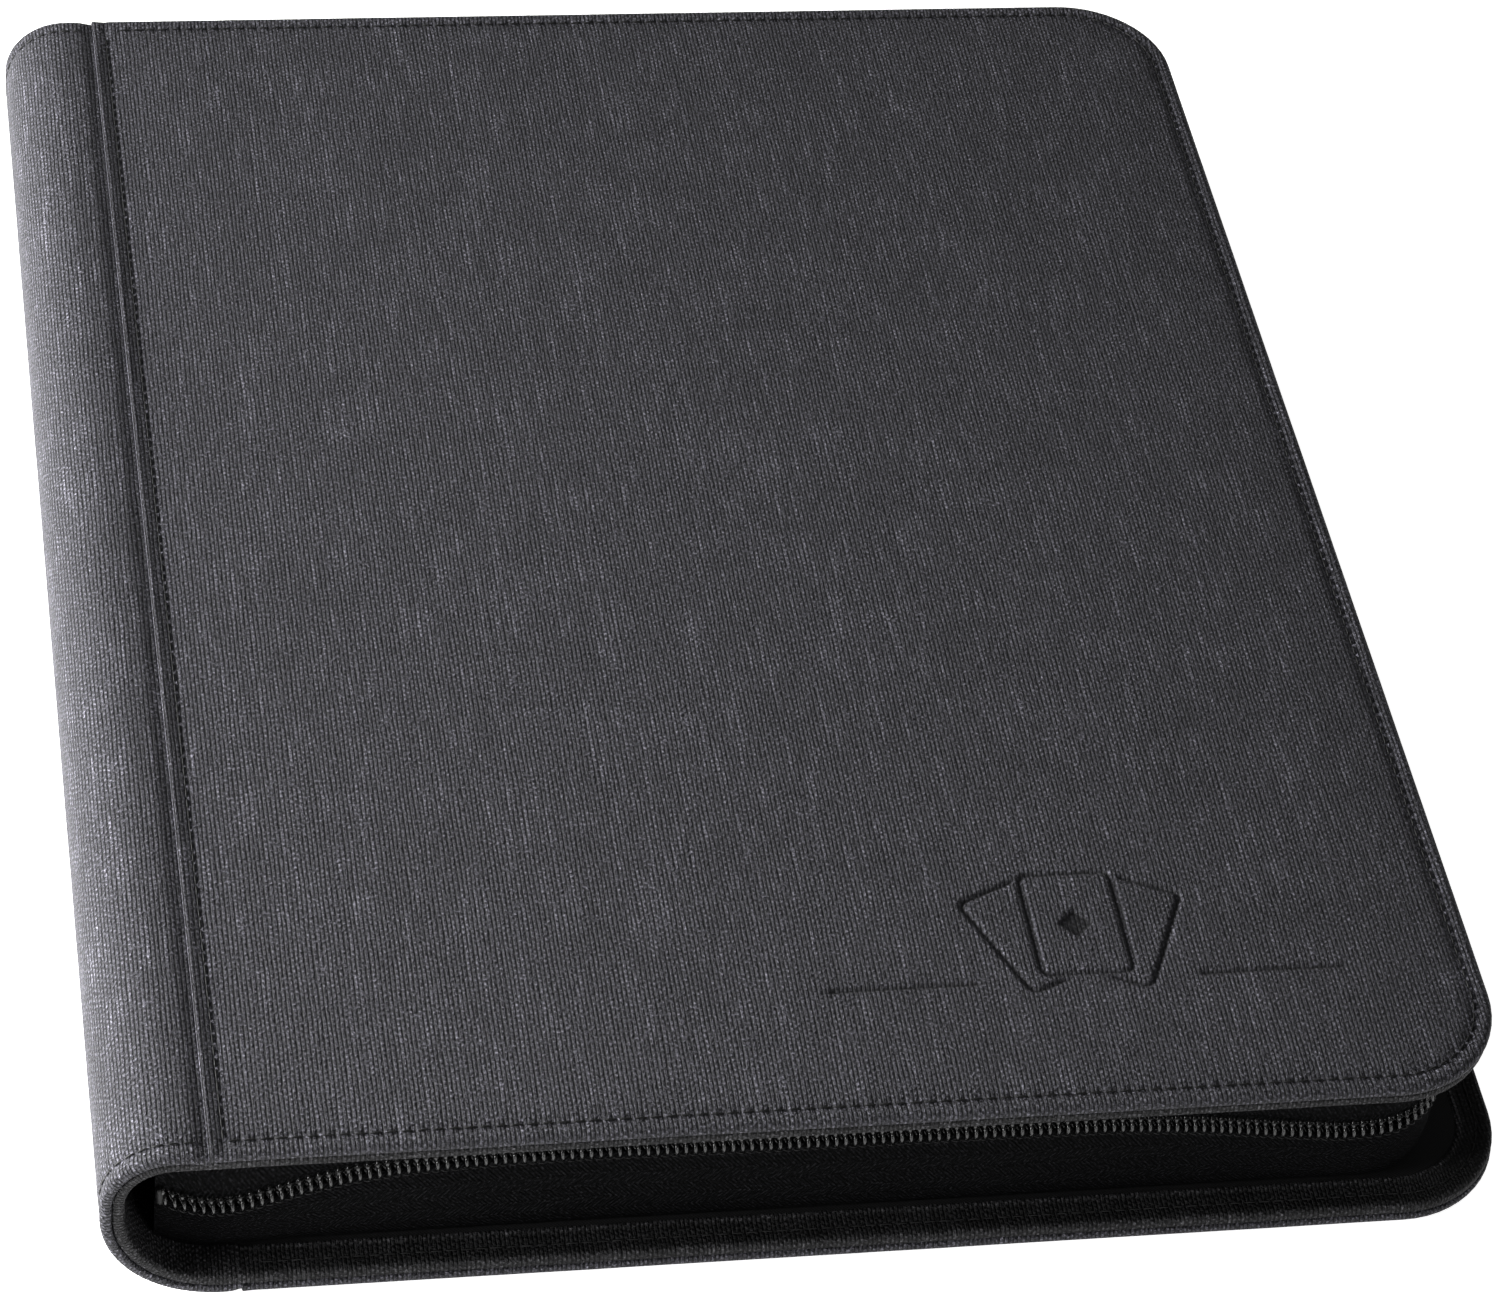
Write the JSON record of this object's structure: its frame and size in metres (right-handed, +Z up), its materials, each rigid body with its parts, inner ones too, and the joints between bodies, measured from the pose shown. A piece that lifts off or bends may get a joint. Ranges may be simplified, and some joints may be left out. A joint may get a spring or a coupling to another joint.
{
  "type": "trading card binder",
  "caption": "Zip-round binder with padded ribbed cloth covers, a rounded cloth spine, a coil zip on three sides and twenty side-loading pocket leaves bound to the spine.",
  "frame": {"origin": "on the underside of the back cover, under the middle of the closed binder", "axes": "+X from the spine to the fore edge, +Y along the spine from the foot to the head of the covers, +Z up out of the front cover"},
  "size_m": [0.287, 0.35, 0.042],
  "materials": {
    "cover_cloth": "ribbed charcoal book cloth, satin",
    "spine_cloth": "ribbed charcoal book cloth, satin",
    "foam": "closed-cell foam, matt",
    "board": "grey binder's board, matt",
    "hem_cloth": "ribbed black cloth, matt",
    "lining_cloth": "smooth black lining, matt",
    "zip_tape": "black twill tape, matt",
    "zip_nylon": "black nylon coil, glossy",
    "zip_metal": "black lacquered zinc, glossy",
    "page": "black sheet with clear pocket film"
  },
  "bodies": {
    "back_cover": {"back_cloth": "cover_cloth", "back_foam": "foam", "back_board": "board", "back_hem": "hem_cloth", "back_lining": "lining_cloth", "back_spine_strip": "spine_cloth", "back_spine_lining": "hem_cloth", "back_zip_tape": "zip_tape", "back_zip_coil": "zip_nylon", "zip_start_stop": "zip_metal", "zip_end_stop": "zip_metal"},
    "spine_1": {"spine_strip_1": "spine_cloth", "spine_lining_1": "hem_cloth", "binding_tape_1": "lining_cloth", "leaf_02": "page"},
    "spine_2": {"spine_strip_2": "spine_cloth", "spine_lining_2": "hem_cloth", "binding_tape_2": "lining_cloth", "leaf_06": "page"},
    "spine_3": {"spine_strip_3": "spine_cloth", "spine_lining_3": "hem_cloth", "binding_tape_3": "lining_cloth", "leaf_10": "page"},
    "spine_4": {"spine_strip_4": "spine_cloth", "spine_lining_4": "hem_cloth", "binding_tape_4": "lining_cloth", "leaf_14": "page"},
    "spine_5": {"spine_strip_5": "spine_cloth", "spine_lining_5": "hem_cloth", "binding_tape_5": "lining_cloth", "leaf_18": "page"},
    "front_cover": {"front_cloth": "cover_cloth", "front_foam": "foam", "front_board": "board", "front_hem": "hem_cloth", "front_lining": "lining_cloth", "front_spine_strip": "spine_cloth", "front_spine_lining": "hem_cloth", "front_zip_tape": "zip_tape", "front_zip_coil": "zip_nylon"},
    "slider": {"slider_body": "zip_metal", "slider_bridge": "zip_metal"},
    "pull": {"slider_pull": "zip_metal"},
    "page_01": {"leaf_01": "page"},
    "page_03": {"leaf_03": "page"},
    "page_04": {"leaf_04": "page"},
    "page_05": {"leaf_05": "page"},
    "page_07": {"leaf_07": "page"},
    "page_08": {"leaf_08": "page"},
    "page_09": {"leaf_09": "page"},
    "page_11": {"leaf_11": "page"},
    "page_12": {"leaf_12": "page"},
    "page_13": {"leaf_13": "page"},
    "page_15": {"leaf_15": "page"},
    "page_16": {"leaf_16": "page"},
    "page_17": {"leaf_17": "page"},
    "page_19": {"leaf_19": "page"},
    "page_20": {"leaf_20": "page"}
  },
  "joints": [
    {"name": "spine_hinge_1", "type": "hinge", "parent": "back_cover", "child": "spine_1", "pos_m": [-0.12566, 0, 0.00082], "axis": [0, -1, 0], "range_deg": [0, 30]},
    {"name": "spine_hinge_2", "type": "hinge", "parent": "spine_1", "child": "spine_2", "pos_m": [-0.13642, 0, 0.00703], "axis": [0, -1, 0], "range_deg": [0, 30]},
    {"name": "spine_hinge_3", "type": "hinge", "parent": "spine_2", "child": "spine_3", "pos_m": [-0.14263, 0, 0.01779], "axis": [0, -1, 0], "range_deg": [0, 30]},
    {"name": "spine_hinge_4", "type": "hinge", "parent": "spine_3", "child": "spine_4", "pos_m": [-0.14297, 0, 0.03162], "axis": [0, -1, 0], "range_deg": [0, 30]},
    {"name": "spine_hinge_5", "type": "hinge", "parent": "spine_4", "child": "spine_5", "pos_m": [-0.13935, 0, 0.0379], "axis": [0, -1, 0], "range_deg": [0, 30]},
    {"name": "spine_hinge_6", "type": "hinge", "parent": "spine_5", "child": "front_cover", "pos_m": [-0.13307, 0, 0.04152], "axis": [0, -1, 0], "range_deg": [0, 30]},
    {"name": "page_turn_01", "type": "hinge", "parent": "spine_1", "child": "page_01", "pos_m": [-0.12085, 0, 0.00609], "axis": [0, 1, 0], "range_deg": [0, 7.5]},
    {"name": "page_turn_03", "type": "hinge", "parent": "spine_1", "child": "page_03", "pos_m": [-0.12085, 0, 0.00923], "axis": [0, -1, 0], "range_deg": [0, 7.5]},
    {"name": "page_turn_04", "type": "hinge", "parent": "spine_1", "child": "page_04", "pos_m": [-0.12085, 0, 0.0108], "axis": [0, -1, 0], "range_deg": [0, 15]},
    {"name": "page_turn_05", "type": "hinge", "parent": "spine_2", "child": "page_05", "pos_m": [-0.12085, 0, 0.01236], "axis": [0, 1, 0], "range_deg": [0, 7.5]},
    {"name": "page_turn_07", "type": "hinge", "parent": "spine_2", "child": "page_07", "pos_m": [-0.12085, 0, 0.0155], "axis": [0, -1, 0], "range_deg": [0, 7.5]},
    {"name": "page_turn_08", "type": "hinge", "parent": "spine_2", "child": "page_08", "pos_m": [-0.12085, 0, 0.01707], "axis": [0, -1, 0], "range_deg": [0, 15]},
    {"name": "page_turn_09", "type": "hinge", "parent": "spine_3", "child": "page_09", "pos_m": [-0.12085, 0, 0.01864], "axis": [0, 1, 0], "range_deg": [0, 7.5]},
    {"name": "page_turn_11", "type": "hinge", "parent": "spine_3", "child": "page_11", "pos_m": [-0.12085, 0, 0.02178], "axis": [0, -1, 0], "range_deg": [0, 7.5]},
    {"name": "page_turn_12", "type": "hinge", "parent": "spine_3", "child": "page_12", "pos_m": [-0.12085, 0, 0.02336], "axis": [0, -1, 0], "range_deg": [0, 15]},
    {"name": "page_turn_13", "type": "hinge", "parent": "spine_4", "child": "page_13", "pos_m": [-0.12085, 0, 0.02492], "axis": [0, 1, 0], "range_deg": [0, 7.5]},
    {"name": "page_turn_15", "type": "hinge", "parent": "spine_4", "child": "page_15", "pos_m": [-0.12085, 0, 0.02806], "axis": [0, -1, 0], "range_deg": [0, 7.5]},
    {"name": "page_turn_16", "type": "hinge", "parent": "spine_4", "child": "page_16", "pos_m": [-0.12085, 0, 0.02964], "axis": [0, -1, 0], "range_deg": [0, 15]},
    {"name": "page_turn_17", "type": "hinge", "parent": "spine_5", "child": "page_17", "pos_m": [-0.12085, 0, 0.03121], "axis": [0, 1, 0], "range_deg": [0, 7.5]},
    {"name": "page_turn_19", "type": "hinge", "parent": "spine_5", "child": "page_19", "pos_m": [-0.12085, 0, 0.03435], "axis": [0, -1, 0], "range_deg": [0, 7.5]},
    {"name": "page_turn_20", "type": "hinge", "parent": "spine_5", "child": "page_20", "pos_m": [-0.12085, 0, 0.03592], "axis": [0, -1, 0], "range_deg": [0, 15]},
    {"name": "zip_run", "type": "slide", "parent": "back_cover", "child": "slider", "axis": [1, 0, 0], "range_m": [0, 0.22]},
    {"name": "pull_swing", "type": "hinge", "parent": "slider", "child": "pull", "pos_m": [-0.1212, 0.1719, 0.027], "axis": [1, 0, 0], "range_deg": [0, 120]}
  ],
  "couplings": [
    {"joint": "spine_hinge_2", "follows": "spine_hinge_1", "ratio": 1},
    {"joint": "spine_hinge_3", "follows": "spine_hinge_1", "ratio": 1},
    {"joint": "spine_hinge_4", "follows": "spine_hinge_1", "ratio": 1},
    {"joint": "spine_hinge_5", "follows": "spine_hinge_1", "ratio": 1},
    {"joint": "spine_hinge_6", "follows": "spine_hinge_1", "ratio": 1},
    {"joint": "page_turn_01", "follows": "spine_hinge_1", "ratio": 0.25},
    {"joint": "page_turn_03", "follows": "spine_hinge_1", "ratio": 0.25},
    {"joint": "page_turn_04", "follows": "spine_hinge_1", "ratio": 0.5},
    {"joint": "page_turn_05", "follows": "spine_hinge_1", "ratio": 0.25},
    {"joint": "page_turn_07", "follows": "spine_hinge_1", "ratio": 0.25},
    {"joint": "page_turn_08", "follows": "spine_hinge_1", "ratio": 0.5},
    {"joint": "page_turn_09", "follows": "spine_hinge_1", "ratio": 0.25},
    {"joint": "page_turn_11", "follows": "spine_hinge_1", "ratio": 0.25},
    {"joint": "page_turn_12", "follows": "spine_hinge_1", "ratio": 0.5},
    {"joint": "page_turn_13", "follows": "spine_hinge_1", "ratio": 0.25},
    {"joint": "page_turn_15", "follows": "spine_hinge_1", "ratio": 0.25},
    {"joint": "page_turn_16", "follows": "spine_hinge_1", "ratio": 0.5},
    {"joint": "page_turn_17", "follows": "spine_hinge_1", "ratio": 0.25},
    {"joint": "page_turn_19", "follows": "spine_hinge_1", "ratio": 0.25},
    {"joint": "page_turn_20", "follows": "spine_hinge_1", "ratio": 0.5}
  ]
}
